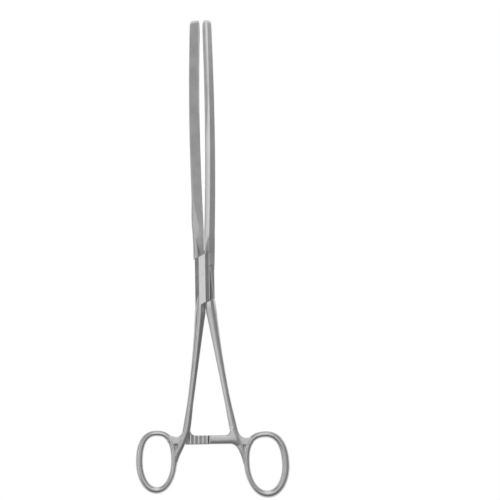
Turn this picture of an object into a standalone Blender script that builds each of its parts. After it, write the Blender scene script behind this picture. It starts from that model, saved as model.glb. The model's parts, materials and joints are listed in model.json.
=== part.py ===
import math

import bmesh
import bpy
from mathutils import Matrix, Vector

# Curved intestinal clamp with a box lock, long grooved jaws, finger rings and a ratchet.
# The clamp is drawn flat, with its pivot at the origin, the jaws along +Y and the handles along -Y.
# It is then laid on its jaw tips and finger rings, as it comes to rest on a table.

mm = 0.001

# Pieces that meet
half_gap = 0.3 * mm
pin_gap = 0.1 * mm

# Box lock
box_width = 10.3 * mm
box_thickness = 8.6 * mm
tongue_thickness = 2.5 * mm
upper_shoulder = 11.9 * mm
lower_shoulder = 10.9 * mm
shoulder_angle = math.radians(29)
cheek_corner = 14 * mm
cheek_plate = (-3.1 * mm, 0.4 * mm)
cheek_bevel_slopes = (0.85, 0.62)
cheek_flank_slope = 0.46
cheek_ridge = 2.6 * mm
cheek_ridge_width = 0.15 * mm
cheek_ridge_height = 0.12 * mm
relief_top = 7.8 * mm
tongue_top = 16 * mm
tongue_bottom = -9.3 * mm
tongue_inset = 0.2 * mm
tongue_stand = 0.05 * mm
tongue_edge_inset = 0.45 * mm
tongue_edge_drop = 0.6 * mm
tongue_crest_shares = (0.22, 0.863)
tongue_crest_levels = (4.84 * mm, -9.8 * mm)
tongue_crest_width = 0.6 * mm
tongue_crest_slopes = (0.35, 0.5)
tongue_crest_reach = (0.3 * mm, 1.25 * mm)
slot_side_gap = 0.5 * mm
slot_end_gap = 1.2 * mm
pin_radius = 1.5 * mm
pin_sides = 32

# Jaws
jaw_width = 8.4 * mm
jaw_straight = 60.0 * mm
jaw_bend_radius = 92 * mm
jaw_bend_angle = math.radians(28)
tip_bend_radius = 172 * mm
tip_bend_angle = math.radians(12.5)
jaw_root = 5 * mm
jaw_stations = 26
jaw_corner_round = 0.5 * mm
jaw_corner_steps = 2
jaw_part_start = 25 * mm
jaw_tip_opening = 0.5 * mm
tip_round_length = 5.5 * mm
tip_thickness = 1.2 * mm
tip_inner_round = 2.2 * mm
female_jaw = {
    "side": 1, "bow": 0.95 * mm, "bow_skew": 0.85, "root_thickness": 5.1 * mm, "thickness": 5.6 * mm,
    "taper": 0.85 * mm, "swell": 0, "land": 2.65 * mm, "slope": math.radians(23),
    "back_bevel": (0.3 * mm, 0.2 * mm), "edge_bevel": 0.8 * mm,
}
male_jaw = {
    "side": -1, "bow": 1.08 * mm, "bow_skew": 1.0, "root_thickness": 5.8 * mm, "thickness": 5.72 * mm,
    "taper": 0.35 * mm, "swell": 0.55 * mm, "land": 0.3 * mm, "slope": math.radians(17),
    "back_bevel": (2.0 * mm, 0.4 * mm), "edge_bevel": 0.3 * mm,
}
jaw_back_bevel_slope = 1.3
jaw_back_bevel_end = 75 * mm
jaw_edge_slope = 0.5
jaw_edge_least = 0.05 * mm
jaw_edge_places = (70 * mm, 95 * mm)
swell_place = 31 * mm
swell_reach = 15 * mm
groove_count = 4
groove_width = 0.9 * mm
groove_depth = 0.45 * mm
groove_run_out = 3 * mm
root_recess_ends = (23.5 * mm, 21.8 * mm)
root_recess_sides = (4.5 * mm, 3.2 * mm)
root_recess_slope = 0.26
flank_bevel_end = 24 * mm

# Handles, drawn about their own centre line
handle_lean = math.radians(1.17)
shank_root_offset = 1.05 * mm
shank_root_slope = 0.105
shank_bow_radius = 1040 * mm
shank_top = 4 * mm
shank_taper_start = 17 * mm
shank_taper_end = 64 * mm
shank_thin_start = 14 * mm
shank_thin_end = 60 * mm
shank_root_width = 5.8 * mm
shank_width = 3.25 * mm
shank_flare = 0.7 * mm
shank_thickness = 4.3 * mm
shank_side = 0.5
ring_bend_start = 78 * mm
ring_bend_length = 20.5 * mm
ring_bend_slope = 0.1

# Finger rings: centre from the pivot in the handle's own lines, and the opening's size
left_ring = {
    "side": -1, "centre": (28.8 * mm, -95.9 * mm), "opening": (14.85 * mm, 26.9 * mm),
    "lean": math.radians(2.4), "wire": 3.85 * mm, "top_wire": 3.1 * mm, "thinning": 0.6 * mm,
    "fork": -84.2 * mm, "arm_fillets": (4.2 * mm, 0.5 * mm), "shank_fade": 0.36,
    "shank_land": (0.42, 0.66), "shank_shoulder": (0.88, 0.76),
}
right_ring = {
    "side": 1, "centre": (29.1 * mm, -99.2 * mm), "opening": (16.9 * mm, 28.1 * mm),
    "lean": math.radians(2.2), "wire": 4.2 * mm, "top_wire": 3.4 * mm, "thinning": 1.0 * mm,
    "fork": -85.6 * mm, "arm_fillets": (3.6 * mm, 2.5 * mm), "shank_fade": 0.24,
    "shank_land": (0.05, 0.52), "shank_shoulder": (0.78, 0.84),
}
ring_thickness = 4.0 * mm
ring_thin_place = math.radians(205)
ring_top_fullness = 2.45
ring_bottom_fullness = 2.05
ring_stations = 48
wire_sides = 12
web_thickness = 1.9 * mm
web_top_place = math.radians(118)
web_fork_places = (math.radians(176), math.radians(124))
web_shoulder = 2.4 * mm
web_shoulder_inset = 0.25 * mm
web_corner_sharpness = 2.4

# Ratchet
ratchet_level = -85.3 * mm
ratchet_height = 5.4 * mm
ratchet_thickness = 2.6 * mm
rear_arm_tip = 9.6 * mm
front_arm_tip = 1.0 * mm
arm_bevel = 0.9 * mm
arm_bevel_spread = 1.3
arm_tip_round = 1.2 * mm
arm_tip_trim = 0.5 * mm
tooth_pitch = 2.3 * mm
tooth_depth = 0.75 * mm
tooth_land = 0.6 * mm
tooth_margins = (0.6 * mm, 0.8 * mm)

satin_steel = {"name": "satin_steel", "colour": (0.62, 0.62, 0.63, 1), "roughness": 0.33}
pin_steel = {"name": "pin_steel", "colour": (0.66, 0.66, 0.67, 1), "roughness": 0.28}


def clear_scene():
    for item in list(bpy.data.objects):
        bpy.data.objects.remove(item)


def make_material(look):
    material = bpy.data.materials.new(look["name"])
    material.use_nodes = True
    shader = material.node_tree.nodes["Principled BSDF"]
    shader.inputs["Base Color"].default_value = look["colour"]
    shader.inputs["Roughness"].default_value = look["roughness"]
    shader.inputs["Metallic"].default_value = 1.0
    return material


def add_object(name, form):
    bmesh.ops.recalc_face_normals(form, faces=form.faces)
    mesh = bpy.data.meshes.new(name)
    form.to_mesh(mesh)
    form.free()
    item = bpy.data.objects.new(name, mesh)
    bpy.context.scene.collection.objects.link(item)
    return item


def loft(name, sections, closed=False):
    """A skin through sections that hold the same number of points."""
    form = bmesh.new()
    loops = [[form.verts.new(point) for point in section] for section in sections]
    count = len(loops[0])
    spans = len(loops) if closed else len(loops) - 1
    for index in range(spans):
        here = loops[index]
        there = loops[(index + 1) % len(loops)]
        for k in range(count):
            form.faces.new((here[k], here[(k + 1) % count], there[(k + 1) % count], there[k]))
    if not closed:
        form.faces.new(loops[0])
        form.faces.new(loops[-1])
    return add_object(name, form)


def prism(name, outline, low, high):
    """An outline in the clamp's plane, drawn from one level to another."""
    return loft(name, [[Vector((x, y, z)) for x, y in outline] for z in (low, high)])


def combine(body, tools, operation):
    for tool in tools:
        change = body.modifiers.new("combine", "BOOLEAN")
        change.operation = operation
        change.object = tool
        change.solver = "EXACT"
        depsgraph = bpy.context.evaluated_depsgraph_get()
        result = bpy.data.meshes.new_from_object(body.evaluated_get(depsgraph))
        body.modifiers.clear()
        body.data = result
        bpy.data.objects.remove(tool)


def smooth_step(value):
    value = min(max(value, 0), 1)
    return value * value * (3 - 2 * value)


def mix(start, end, share):
    return start + (end - start) * share


def turn(point, angle):
    x, y = point
    return (x * math.cos(angle) - y * math.sin(angle), x * math.sin(angle) + y * math.cos(angle))


def round_corner(before, corner, after, reach, steps):
    """A short curve in place of a corner, starting and ending at the given reach from it."""
    back = Vector(before) - Vector(corner)
    ahead = Vector(after) - Vector(corner)
    start = Vector(corner) + back.normalized() * min(reach, 0.45 * back.length)
    end = Vector(corner) + ahead.normalized() * min(reach, 0.45 * ahead.length)
    curve = []
    for k in range(steps + 1):
        u = k / steps
        curve.append(start * (1 - u) ** 2 + Vector(corner) * 2 * u * (1 - u) + end * u ** 2)
    return curve


# Jaws

def jaw_length():
    return jaw_straight + jaw_bend_radius * jaw_bend_angle + tip_bend_radius * tip_bend_angle + jaw_width / 2


def jaw_point(travel):
    """Place and heading on the jaw's centre line, which bends away below the clamp's plane."""
    first = jaw_bend_radius * jaw_bend_angle
    second = tip_bend_radius * tip_bend_angle
    if travel <= jaw_straight:
        return Vector((0, travel, 0)), 0
    y = jaw_straight
    z = 0
    heading = 0
    rest = travel - jaw_straight
    for radius, arc in ((jaw_bend_radius, first), (tip_bend_radius, second)):
        step = min(rest, arc)
        after = heading + step / radius
        y += radius * (math.sin(after) - math.sin(heading))
        z -= radius * (math.cos(heading) - math.cos(after))
        heading = after
        rest -= step
    y += rest * math.cos(heading)
    z -= rest * math.sin(heading)
    return Vector((0, y, z)), heading


def jaw_thickness(travel, jaw):
    """From the grooved face to the back, with the swell where the jaw leaves the lock."""
    share = min(max((travel - jaw_part_start) / (jaw_length() - jaw_part_start), 0), 1)
    thick = mix(jaw["root_thickness"], jaw["thickness"], smooth_step(travel / jaw_part_start))
    thick += jaw["swell"] * smooth_step(1 - abs(travel - swell_place) / swell_reach)
    return thick - jaw["taper"] * share


def jaw_section(travel, jaw):
    """Grooved inner face, a land along each edge and a back that slopes away from it to a bevelled side."""
    end = jaw_length()
    centre, heading = jaw_point(travel)
    across = Vector((0, math.sin(heading), math.cos(heading)))
    widest = jaw_width / 2
    past = min(max(0, travel - (end - widest)) / widest, 0.99)
    half = widest * math.sqrt(1 - past ** 2)
    squeeze = half / widest
    share = min(max((travel - jaw_part_start) / (end - jaw_part_start), 0), 1)
    bow = jaw["bow"] * math.sin(math.pi * share ** jaw["bow_skew"])
    inner = half_gap / 2 + bow + jaw_tip_opening * share
    rounding = max(0, travel - (end - tip_round_length)) / tip_round_length
    fullness = math.sqrt(max(1 - rounding ** 2, 0))
    thick = mix(tip_thickness, jaw_thickness(travel, jaw), fullness)
    inner += tip_inner_round * (1 - fullness)
    depth = groove_depth * smooth_step((travel - jaw_part_start) / groove_run_out)
    first_place, last_place = jaw_edge_places
    edge = jaw["edge_bevel"] * smooth_step((travel - first_place) / (last_place - first_place)) + jaw_edge_least
    edge *= fullness * squeeze
    points = [(0, edge * jaw_edge_slope - half)]
    pitch = jaw_width / (groove_count + 1)
    for index in range(groove_count):
        middle = (index - (groove_count - 1) / 2) * pitch
        points.append((0, (middle - groove_width / 2) * squeeze))
        points.append((depth * squeeze, middle * squeeze))
        points.append((0, (middle + groove_width / 2) * squeeze))
    points.append((0, half - edge * jaw_edge_slope))
    land = min(jaw["land"], jaw["land"] * thick / (jaw["thickness"] - jaw["taper"]))
    bevel = mix(*jaw["back_bevel"], smooth_step((travel - jaw_root) / (jaw_back_bevel_end - jaw_root))) * fullness
    upper = (thick - bevel, half - (thick - bevel - land) * math.tan(jaw["slope"]) * squeeze)
    lower = (thick, upper[1] - bevel * jaw_back_bevel_slope)
    back = [(edge, half), (land, half)]
    back += round_corner((land, half), upper, lower, jaw_corner_round, jaw_corner_steps)
    back += round_corner(upper, lower, (thick, 0), jaw_corner_round, jaw_corner_steps)
    points += back + [(x, -n) for x, n in reversed(back)]
    return [centre + Vector((jaw["side"] * (inner + x), 0, 0)) + across * n for x, n in points]


def make_jaw(name, jaw):
    end = jaw_length()
    stops = [mix(jaw_root, jaw_part_start, share) for share in (0, 0.5, 1)]
    stops += [jaw_part_start + groove_run_out * share for share in (0.33, 0.67, 1)]
    start = stops[-1]
    reach = end - max(tip_round_length, jaw_width / 2)
    stops += [mix(start, reach, k / jaw_stations) for k in range(1, jaw_stations + 1)]
    last = math.radians(88)
    stops += [mix(reach, end, math.sin(last * k / 10)) for k in range(1, 11)]
    return loft(name, [jaw_section(travel, jaw) for travel in stops])


# Handles

def to_clamp(x, y, z):
    """From the handles' own lines, which lean a little, to the clamp's."""
    px, py = turn((x, y), handle_lean)
    return Vector((px, py, z))


def shank_offset(distance):
    """Offset of the shank's middle from the handles' centre line, a shallow arc that then joins the ring."""
    return shank_root_offset + shank_root_slope * distance + distance ** 2 / (2 * shank_bow_radius)


def ring_side(ring):
    """Middle of the ring's wire on the side that faces the other ring."""
    return ring["centre"][0] - ring["opening"][0] / 2 - ring["wire"] / 2


def shank_middle(distance, ring):
    """The shank's offset along its whole length, bending out to run into the ring's side."""
    if distance <= ring_bend_start:
        return shank_offset(distance)
    u = (distance - ring_bend_start) / ring_bend_length
    slope = shank_root_slope + ring_bend_start / shank_bow_radius
    start = shank_offset(ring_bend_start)
    places = mix(start, ring_side(ring), smooth_step(u))
    slopes = (u ** 3 - 2 * u ** 2 + u) * slope + (u ** 3 - u ** 2) * ring_bend_slope
    return places + ring_bend_length * slopes


def shank_section(distance, ring):
    u = (distance - shank_taper_start) / (shank_taper_end - shank_taper_start)
    width = shank_width + (shank_root_width - shank_width) * (1 - min(max(u, 0), 1)) ** 2
    width += shank_flare * smooth_step((distance - shank_taper_end) / (ring_bend_start - shank_taper_end))
    middle = shank_middle(distance, ring)
    outer = middle + width / 2
    inner = max(half_gap / 2, middle - width / 2)
    v = min(max((distance - shank_thin_start) / (shank_thin_end - shank_thin_start), 0), 1)
    half = mix(shank_thickness, box_thickness, (1 - v) ** 2) / 2
    bend = (distance - ring_bend_start) / ring_bend_length
    fade = 1 - ring["shank_fade"] * smooth_step(2 * bend - 1)
    half *= fade
    middle = (outer + inner) / 2
    outer = middle + (outer - middle) * fade
    inner = middle - (middle - inner) * fade
    land_start, land_end = ring["shank_land"]
    front = [(0, shank_side), (land_start, 1), (land_end, 1), ring["shank_shoulder"], (1, shank_side)]
    profile = [(mix(inner, outer, u), v * half) for u, v in front]
    profile += [(x, -z) for x, z in reversed(profile)]
    return [to_clamp(ring["side"] * x, -distance, z) for x, z in profile]


def make_shank(name, ring):
    end = ring_bend_start + ring_bend_length
    stops = [mix(shank_top, shank_taper_start, k / 4) for k in range(4)]
    stops += [mix(shank_taper_start, ring_bend_start, k / 14) for k in range(14)]
    stops += [mix(ring_bend_start, end, k / 10) for k in range(11)]
    return loft(name, [shank_section(distance, ring) for distance in stops])


def ring_curve(angle, ring, grow=0):
    """A point on an upright egg: fuller at the top than at the bottom."""
    width, height = ring["opening"]
    top = ring["top_wire"]
    power = ring_top_fullness if math.sin(angle) > 0 else ring_bottom_fullness
    wire = mix(ring["wire"], top, max(math.sin(angle), 0) ** 2)
    wire -= ring["thinning"] * max(math.cos(angle - ring_thin_place), 0) ** 2
    a = width / 2 + wire / 2 + grow * wire / 2
    b = height / 2 + wire / 2 + grow * wire / 2
    c, s = math.cos(angle), math.sin(angle)
    x = a * math.copysign(abs(c) ** (2 / power), c)
    y = b * math.copysign(abs(s) ** (2 / power), s)
    x, y = turn((x, y), ring["lean"])
    return ring["side"] * (ring["centre"][0] + x), ring["centre"][1] + y, wire


def make_ring(name, ring):
    step = 2 * math.pi / ring_stations
    facet = math.cos(math.pi / wire_sides)
    sections = []
    for index in range(ring_stations):
        angle = step * index
        x, y, wire = ring_curve(angle, ring)
        ax, ay, _ = ring_curve(angle + step / 4, ring)
        bx, by, _ = ring_curve(angle - step / 4, ring)
        along = Vector((ax - bx, ay - by)).normalized()
        outward = Vector((along.y, -along.x))
        section = []
        for k in range(wire_sides):
            t = 2 * math.pi * (k + 0.5) / wire_sides
            reach = wire / 2 * math.cos(t) / facet
            level = ring_thickness / 2 * math.sin(t) / facet
            section.append(to_clamp(x + outward.x * reach, y + outward.y * reach, level))
        sections.append(section)
    return loft(name, sections, closed=True)


def web_edge(ring, drop=0):
    """The hollow upper edge between the ring's shoulder and the shank, lowered by drop."""
    top_x, top_y, _ = ring_curve(web_top_place, ring, grow=0.5)
    start = Vector((top_x, top_y - drop))
    end_distance = ring_bend_start + drop
    end = Vector((ring["side"] * (shank_middle(end_distance, ring) + shank_width / 4), -end_distance))
    corner_x = shank_middle(-ring["fork"], ring) + (shank_width + shank_flare) / 2
    corner = Vector((ring["side"] * corner_x, ring["fork"] - drop))
    steps = 12
    curve = []
    for k in range(steps + 1):
        u = k / steps
        weights = ((1 - u) ** 2, 2 * web_corner_sharpness * u * (1 - u), u ** 2)
        point = start * weights[0] + corner * weights[1] + end * weights[2]
        curve.append(point / sum(weights))
    return curve


def make_web(name, ring):
    """A thin three-cornered web in the fork of ring and shank, with a full shoulder along its upper edge."""
    end = ring_bend_start + ring_bend_length
    fork = []
    for distance in (mix(ring_bend_start, end, share) for share in (0.15, 0.5, 0.85)):
        fork.append(Vector((ring["side"] * shank_middle(distance, ring), -distance)))
    low_place, high_place = web_fork_places
    for share in (0, 0.25, 0.5, 0.75, 1):
        x, y, _ = ring_curve(mix(low_place, high_place, share), ring)
        fork.append(Vector((x, y)))
    edge = web_edge(ring)
    thin = [to_clamp(p.x, p.y, 0) for p in edge + fork]
    thick = [to_clamp(p.x, p.y, 0) for p in edge + web_edge(ring, web_shoulder)[::-1]]
    web = prism(name, [(p.x, p.y) for p in thin], -web_thickness / 2, web_thickness / 2)
    high = ring_thickness / 2 - web_shoulder_inset
    combine(web, [prism("web_shoulder", [(p.x, p.y) for p in thick], -high, high)], "UNION")
    return web


def shank_x(y, ring):
    """Where the shank's middle lies across the clamp at height y."""
    return to_clamp(ring["side"] * shank_middle(-y, ring), y, 0).x


def make_arm(name, ring, tip, face):
    """A ratchet arm, bevelled outside and filleted into its shank. face is +1 in front, -1 behind."""
    side = ring["side"]
    root_x = shank_x(ratchet_level, ring)
    edge = (shank_width + shank_flare) / 2
    upper, lower = ring["arm_fillets"]
    longest = max(upper, lower)
    reach = abs(root_x - tip)
    stops = [0] + [edge + longest * (1 - math.cos(math.pi / 2 * k / 5)) for k in range(6)]
    stops += [reach - arm_tip_round * share for share in (1, 0.35, 0)]
    sections = []
    for travel in stops:
        past = max(travel - edge, 0)
        lifts = [radius - math.sqrt(radius ** 2 - max(radius - past, 0) ** 2) for radius in (upper, lower)]
        close = min(reach - travel, arm_tip_round) / arm_tip_round
        trim = arm_tip_trim * (1 - math.sqrt(1 - (1 - close) ** 2))
        top = ratchet_height / 2 + lifts[0] - trim
        bottom = -ratchet_height / 2 - lifts[1] + trim
        inside = face * half_gap / 2
        outside = face * (half_gap / 2 + ratchet_thickness - trim)
        shoulder = outside - face * arm_bevel
        inset = arm_bevel_spread * arm_bevel
        profile = (
            (bottom, inside), (top, inside), (top, shoulder), (top - inset, outside),
            (bottom + inset, outside), (bottom, shoulder),
        )
        section = []
        for y, z in profile:
            start = mix(shank_x(ratchet_level + y, ring), root_x, past / (reach - edge))
            section.append(Vector((start - side * travel, ratchet_level + y, z)))
        sections.append(section)
    arm = loft(name, sections)
    first = edge + tooth_margins[0]
    count = int((reach - first - tooth_margins[1]) / tooth_pitch)
    places = [root_x - side * (first + index * tooth_pitch) for index in range(count)]
    combine(arm, [tooth_notch(place, side, face) for place in places], "DIFFERENCE")
    return arm


def tooth_notch(steep, side, face):
    """The space between two saw teeth: steep towards the arm's own shank, gentle towards its tip."""
    gentle = steep - side * (tooth_pitch - tooth_land)
    level = face * half_gap / 2
    lip = level - face * tooth_depth
    deep = level + face * tooth_depth
    outline = ((steep, lip), (gentle, lip), (gentle, level), (steep, deep))
    reach = 2 * ratchet_height
    ends = (ratchet_level - reach, ratchet_level + reach)
    return loft("notch", [[Vector((x, y, z)) for x, z in outline] for y in ends])


# Box lock

def lock_line(distance):
    """Two far points of the slanting line that lies at the given distance from the pivot."""
    normal = Vector((-math.sin(shoulder_angle), math.cos(shoulder_angle)))
    along = Vector((math.cos(shoulder_angle), math.sin(shoulder_angle)))
    middle = normal * distance
    reach = 2 * box_width
    return middle - along * reach, middle + along * reach


def on_line(distance, x):
    """Height of a slanting shoulder line at x."""
    return (distance + x * math.sin(shoulder_angle)) / math.cos(shoulder_angle)


def cheek_front():
    """The lock's front from left to right: bevel, plate, bevel, a fine ridge and the flank."""
    half = box_width / 2
    high = box_thickness / 2
    left, right = cheek_plate
    left_slope, right_slope = cheek_bevel_slopes
    low = high - (cheek_ridge - cheek_ridge_width - right) * right_slope
    top = low + cheek_ridge_height
    return [
        (-half, high - (left + half) * left_slope), (left, high), (right, high),
        (cheek_ridge - cheek_ridge_width, low), (cheek_ridge, top),
        (half, top - (half - cheek_ridge) * cheek_flank_slope),
    ]


def cheek_bar(name, length):
    """The lock's whole section, front and back, drawn along the clamp."""
    section = cheek_front() + [(x, -z) for x, z in reversed(cheek_front())]
    return loft(name, [[Vector((x, y, z)) for x, z in section] for y in (-length / 2, length / 2)])


def female_box():
    """Both cheeks as one block, before the slot is cut: slanting ends and bevelled long edges."""
    half = box_width / 2
    seam = half_gap / 2
    block = cheek_bar("cheeks", 4 * box_width)
    out = 2 * half
    outline = (
        (-out, on_line(-lower_shoulder, -out)), (out, on_line(-lower_shoulder, out)), (out, cheek_corner),
        (half, cheek_corner), (seam, on_line(upper_shoulder, seam)), (-out, on_line(upper_shoulder, -out)),
    )
    combine(block, [prism("ends", outline, -box_thickness, box_thickness)], "INTERSECT")
    return block


def flank_bevels():
    """The lock's right bevel and ridge, running on into the jaw's root and flattening until they fade out."""
    start = on_line(upper_shoulder, 0)
    out = 2 * box_width
    high = box_thickness / 2
    right = cheek_front()[2:]
    rise = high - right[1][1]
    end_x, end_z = right[-1]
    line = [(0, high), *right, (out, end_z - (out - end_x) * cheek_flank_slope)]
    stations = [(0, 0), *((mix(start, flank_bevel_end, k / 4), rise * k / 4) for k in range(5))]
    stations.append((jaw_straight, out))
    cutters = []
    for face in (1, -1):
        sections = []
        for y, lift in stations:
            lifts = [0, 0] + [lift] * (len(line) - 2)
            section = [(x, z + up) for (x, z), up in zip(line, lifts)] + [(out, 2 * out), (0, 2 * out)]
            sections.append([Vector((x, y, face * z)) for x, z in section])
        cutters.append(loft("flank_bevel", sections))
    return cutters


def slot_cutter():
    """The space that the tongue and the roots of the other half sweep inside the cheeks."""
    half = tongue_thickness / 2 + half_gap
    wide = 3 * box_width
    top, side = tongue_corners()[:2]
    high = top.y + slot_end_gap
    step = side.y + slot_side_gap
    right = [
        Vector((-wide, high)), Vector((slot_side_gap, high)), Vector((side.x + slot_side_gap, step)),
        Vector((wide, step)),
    ]
    return prism("slot", right + [-point for point in right], -half, half)


def tongue_corners():
    """The corners of the tongue's right edge. Its left edge is the same, turned half round."""
    top = Vector((-half_gap / 2, tongue_top))
    side = Vector((cheek_ridge - tongue_inset, relief_top))
    edge = Vector((box_width / 2 - tongue_edge_inset, relief_top - tongue_edge_drop))
    low = Vector((box_width / 2, tongue_bottom))
    return [top, side, edge, low]


def make_tongue():
    right = tongue_corners()
    return prism("tongue", right + [-point for point in right], -tongue_thickness / 2, tongue_thickness / 2)


def shoulder_outline(gap=0):
    """The slanting strip between the two shoulders, each moved away by the gap."""
    low = lock_line(-lower_shoulder - gap)
    high = lock_line(upper_shoulder + gap)
    return [(p.x, p.y) for p in (low[0], low[1], high[1], high[0])]


def shoulder_cutters():
    """What is ground away in front of and behind the tongue, between the two slanting shoulders."""
    half = tongue_thickness / 2 - tongue_stand
    spans = ((half, box_thickness), (-box_thickness, -half))
    return [prism("shoulder", shoulder_outline(half_gap), back, front) for back, front in spans]


def neck_cutter():
    """What the swollen jaw root leaves outside the lock's left edge, below its shoulder."""
    half = box_width / 2
    strip = prism("neck", shoulder_outline(half_gap / 2), -box_thickness, box_thickness)
    outline = ((-3 * half, 0), (-half, 0), (-half, 3 * box_width), (-3 * half, 3 * box_width))
    combine(strip, [prism("side", outline, -2 * box_thickness, 2 * box_thickness)], "INTERSECT")
    return strip


def crest_cutters():
    """What falls away on both sides of the crest that runs along the tongue's open edge."""
    half = tongue_thickness / 2
    right = box_width / 2
    top_x, low_x = (mix(cheek_ridge, right, share) for share in tongue_crest_shares)
    top_y, low_y = tongue_crest_levels
    lean = (top_x - low_x) / (top_y - low_y)
    limits = (cheek_ridge - tongue_crest_reach[0], right + tongue_crest_reach[1])
    cutters = []
    for side, slope, far in zip((-1, 1), tongue_crest_slopes, limits):
        sections = []
        for y in (relief_top, on_line(-lower_shoulder - half_gap, 0)):
            near = top_x + (y - top_y) * lean + side * tongue_crest_width / 2
            deep = half - slope * abs(far - near)
            corners = ((near, half), (far, deep), (far, box_thickness), (near, box_thickness))
            sections.append([Vector((x, y, z)) for x, z in corners])
        cutter = loft("crest", sections)
        strip = prism("strip", shoulder_outline(half_gap / 2), -box_thickness / 2, box_thickness / 2)
        combine(cutter, [strip], "INTERSECT")
        cutters.append(cutter)
    return cutters


def flank_relief():
    """The opening in the front cheek's flank, where the other half's shank comes out of the slot."""
    out = 2 * box_width
    bottom = -3 * box_width
    outline = ((cheek_ridge, relief_top), (out, relief_top), (out, bottom), (cheek_ridge, bottom))
    return prism("relief", outline, 0, box_thickness)


def root_recesses():
    """The recess in the jaw's root, in front and behind, that deepens towards the other half's shoulder."""
    right_end, left_end = root_recess_ends
    left_top, left_bottom = root_recess_sides
    bottom = lower_shoulder
    high = jaw_width / 2
    fall = math.tan(male_jaw["slope"])
    lean = (right_end - left_end) / left_top
    outline = ((0, right_end), (-left_top, left_end), (-left_bottom, bottom), (0, bottom))
    cutters = []
    for face in (1, -1):
        floor = []
        for x, y in outline:
            depth = (right_end + x * lean - y) * root_recess_slope
            floor.append(Vector((x, y, face * (high + x * fall - depth))))
        roof = [Vector((p.x, p.y, face * box_thickness)) for p in floor]
        cutters.append(loft("root_recess", [floor, roof]))
    return cutters


def pin_cylinder(name, radius, length):
    form = bmesh.new()
    bmesh.ops.create_cone(
        form, cap_ends=True, segments=pin_sides, radius1=radius, radius2=radius, depth=length
    )
    return add_object(name, form)


# The three pieces

def make_female_half():
    body = make_jaw("female_half", female_jaw)
    combine(body, flank_bevels(), "DIFFERENCE")
    ring = left_ring
    parts = [female_box(), make_shank("shank", ring), make_ring("ring", ring), make_web("web", ring)]
    parts.append(make_arm("arm", ring, rear_arm_tip, -1))
    combine(body, parts, "UNION")
    combine(body, [slot_cutter(), flank_relief()], "DIFFERENCE")
    combine(body, [pin_cylinder("pin_hole", pin_radius + pin_gap, 2 * box_thickness)], "DIFFERENCE")
    return body


def make_male_half():
    jaw = make_jaw("male_half", male_jaw)
    combine(jaw, root_recesses(), "DIFFERENCE")
    ring = right_ring
    parts = [make_shank("shank", ring), make_ring("ring", ring), make_web("web", ring)]
    parts.append(make_arm("arm", ring, front_arm_tip, 1))
    combine(jaw, parts, "UNION")
    combine(jaw, [*shoulder_cutters(), neck_cutter()], "DIFFERENCE")
    combine(jaw, [make_tongue()], "UNION")
    combine(jaw, crest_cutters(), "DIFFERENCE")
    combine(jaw, [pin_cylinder("pin_hole", pin_radius + pin_gap, 2 * box_thickness)], "DIFFERENCE")
    return jaw


def make_pivot_pin():
    """The pin, ground flush with the lock's plate and bevels."""
    pin = pin_cylinder("pivot_pin", pin_radius, 2 * box_thickness)
    combine(pin, [cheek_bar("flush", 4 * pin_radius)], "INTERSECT")
    return pin


def finish(item, material):
    item.data.materials.clear()
    item.data.materials.append(material)
    item.data.shade_smooth()
    item.data.set_sharp_from_angle(angle=math.radians(24))


# Rest pose

def lowest(points, tilt):
    return min(p.y * math.sin(tilt) + p.z * math.cos(tilt) for p in points)


def rest_tilt(points):
    """The lean at which the jaw tips and the finger rings touch the table together."""
    jaws = [p for p in points if p.y > 0]
    rings = [p for p in points if p.y < 0]
    low, high = 0, math.radians(30)
    for _ in range(40):
        middle = (low + high) / 2
        if lowest(jaws, middle) < lowest(rings, middle):
            low = middle
        else:
            high = middle
    return middle


def lay_down(items):
    points = [v.co.copy() for item in items for v in item.data.vertices]
    tilt = rest_tilt(points)
    lean = Matrix.Rotation(tilt, 4, "X")
    laid = [lean @ p for p in points]
    middle_x = (min(p.x for p in laid) + max(p.x for p in laid)) / 2
    middle_y = (min(p.y for p in laid) + max(p.y for p in laid)) / 2
    bottom = min(p.z for p in laid)
    pivot = bpy.data.objects.new("pivot_axis", None)
    pivot.matrix_world = Matrix.Translation((-middle_x, -middle_y, -bottom)) @ lean
    bpy.context.scene.collection.objects.link(pivot)
    for item in items:
        item.parent = pivot


def main():
    clear_scene()
    steel = make_material(satin_steel)
    pin = make_material(pin_steel)
    female = make_female_half()
    male = make_male_half()
    pivot_pin = make_pivot_pin()
    for item, material in ((female, steel), (male, steel), (pivot_pin, pin)):
        finish(item, material)
    lay_down([female, male, pivot_pin])


main()
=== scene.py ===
import json
import math

import bmesh
import bpy
from mathutils import Matrix, Vector


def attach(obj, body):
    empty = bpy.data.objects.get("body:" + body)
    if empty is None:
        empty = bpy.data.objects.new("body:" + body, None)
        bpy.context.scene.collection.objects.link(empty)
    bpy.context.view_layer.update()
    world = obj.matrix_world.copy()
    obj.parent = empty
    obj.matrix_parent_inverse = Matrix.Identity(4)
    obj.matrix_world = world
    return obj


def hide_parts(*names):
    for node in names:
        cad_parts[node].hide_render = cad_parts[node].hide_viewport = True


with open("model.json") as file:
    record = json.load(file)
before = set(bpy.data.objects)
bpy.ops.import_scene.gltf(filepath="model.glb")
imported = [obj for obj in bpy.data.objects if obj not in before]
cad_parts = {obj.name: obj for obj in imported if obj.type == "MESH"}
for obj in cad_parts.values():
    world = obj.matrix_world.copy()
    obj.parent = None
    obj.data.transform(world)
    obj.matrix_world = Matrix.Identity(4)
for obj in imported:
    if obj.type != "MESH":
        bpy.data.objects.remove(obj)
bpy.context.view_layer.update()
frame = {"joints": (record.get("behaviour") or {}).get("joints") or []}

mm = 0.001
hingeGap = 0.3 * mm     # what the two halves keep between them

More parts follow.
